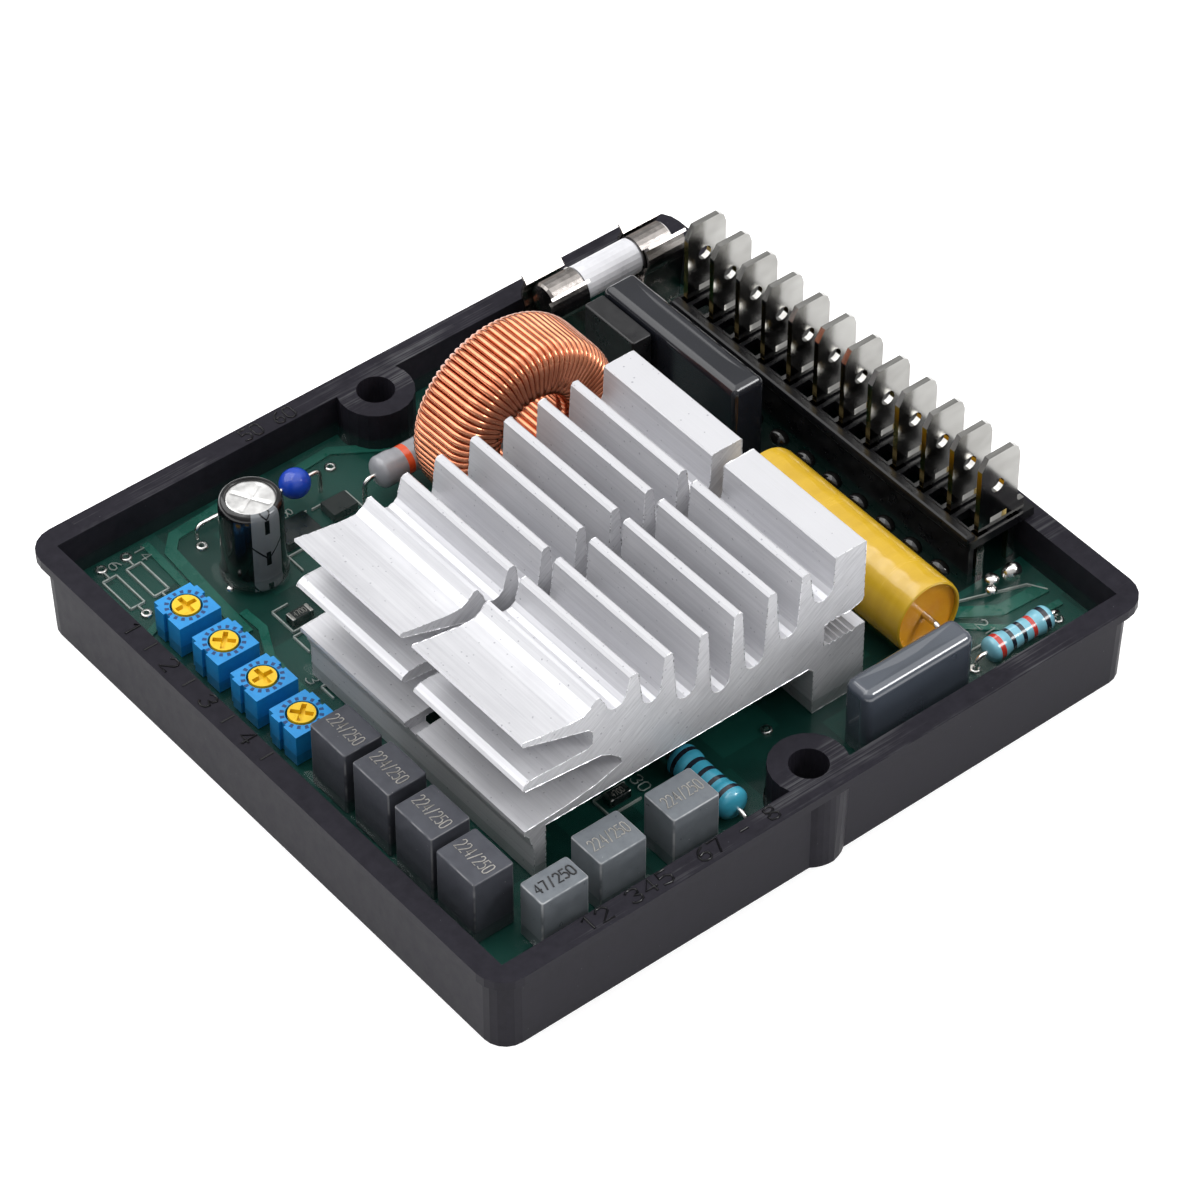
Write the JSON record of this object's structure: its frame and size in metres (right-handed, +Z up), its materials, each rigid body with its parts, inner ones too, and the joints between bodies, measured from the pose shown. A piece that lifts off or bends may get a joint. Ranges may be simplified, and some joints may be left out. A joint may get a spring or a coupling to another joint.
{
  "type": "automatic voltage regulator",
  "caption": "Potted generator voltage regulator: black tray, finned heatsink, upright toroid choke, trimmers, fuse and a row of push-on terminal tabs.",
  "frame": {"origin": "centre of the tray's underside", "axes": "+Z up out of the open tray, +X towards the row of terminal tabs, +Y towards the side with the fuse and the toroid choke"},
  "size_m": [0.1018, 0.0946, 0.0347],
  "materials": {
    "case": "satin",
    "potting": "glossy",
    "board": "satin",
    "resin": "glossy, clear",
    "trimmer": "satin",
    "rotor": "satin",
    "can": "satin",
    "sleeve": "glossy",
    "ferrite": "matte",
    "copper": "enamelled copper wire, glossy",
    "aluminium": "extruded, satin",
    "box": "satin",
    "dark_box": "glossy",
    "black": "satin",
    "yellow": "glossy",
    "ceramic": "white ceramic, satin",
    "nickel": "nickel plated, glossy",
    "tin": "tin plated, satin",
    "blue_resistor": "glossy",
    "grey_resistor": "glossy",
    "bead": "glossy"
  },
  "bodies": {
    "regulator": {"case": "case", "terminal_strip": "case", "potting_base": "potting", "circuit_board": "board", "clear_resin": "resin", "trimmer_body_1": "trimmer", "trimmer_body_2": "trimmer", "trimmer_body_3": "trimmer", "trimmer_body_4": "trimmer", "electrolytic_can": "can", "electrolytic_sleeve": "sleeve", "toroid_core": "ferrite", "toroid_winding": "copper", "heatsink": "aluminium", "box_capacitor_1": "box", "box_capacitor_2": "box", "box_capacitor_3": "box", "box_capacitor_4": "box", "box_capacitor_5": "box", "box_capacitor_6": "box", "small_box_capacitor": "box", "front_film_capacitor": "dark_box", "rear_film_capacitor": "dark_box", "power_device_front": "black", "power_device_rear": "black", "bridge_rectifier": "black", "chip_1": "black", "chip_2": "black", "chip_3": "black", "chip_4": "black", "chip_5": "black", "chip_6": "black", "axial_capacitor": "yellow", "fuse_tube": "ceramic", "fuse_cap_left": "nickel", "fuse_cap_right": "nickel", "fuse_clip_left": "nickel", "fuse_clip_right": "nickel", "terminal_tab_1": "tin", "terminal_tab_2": "tin", "terminal_tab_3": "tin", "terminal_tab_4": "tin", "terminal_tab_5": "tin", "terminal_tab_6": "tin", "terminal_tab_7": "tin", "terminal_tab_8": "tin", "terminal_tab_9": "tin", "terminal_tab_10": "tin", "terminal_tab_11": "tin", "terminal_tab_12": "tin", "blue_resistor": "blue_resistor", "light_blue_resistor": "blue_resistor", "grey_resistor": "grey_resistor", "bead_capacitor": "bead"},
    "trimmer_1": {"trimmer_rotor_1": "rotor"},
    "trimmer_2": {"trimmer_rotor_2": "rotor"},
    "trimmer_3": {"trimmer_rotor_3": "rotor"},
    "trimmer_4": {"trimmer_rotor_4": "rotor"}
  },
  "joints": [
    {"name": "trimmer_turn_1", "type": "hinge", "parent": "regulator", "child": "trimmer_1", "pos_m": [-0.041, 0.0266, 0.0123], "axis": [0, 0, 1], "range_deg": [-130, 130]},
    {"name": "trimmer_turn_2", "type": "hinge", "parent": "regulator", "child": "trimmer_2", "pos_m": [-0.041, 0.01875, 0.0123], "axis": [0, 0, 1], "range_deg": [-130, 130]},
    {"name": "trimmer_turn_3", "type": "hinge", "parent": "regulator", "child": "trimmer_3", "pos_m": [-0.041, 0.0109, 0.0123], "axis": [0, 0, 1], "range_deg": [-130, 130]},
    {"name": "trimmer_turn_4", "type": "hinge", "parent": "regulator", "child": "trimmer_4", "pos_m": [-0.041, 0.00305, 0.0123], "axis": [0, 0, 1], "range_deg": [-130, 130]}
  ]
}
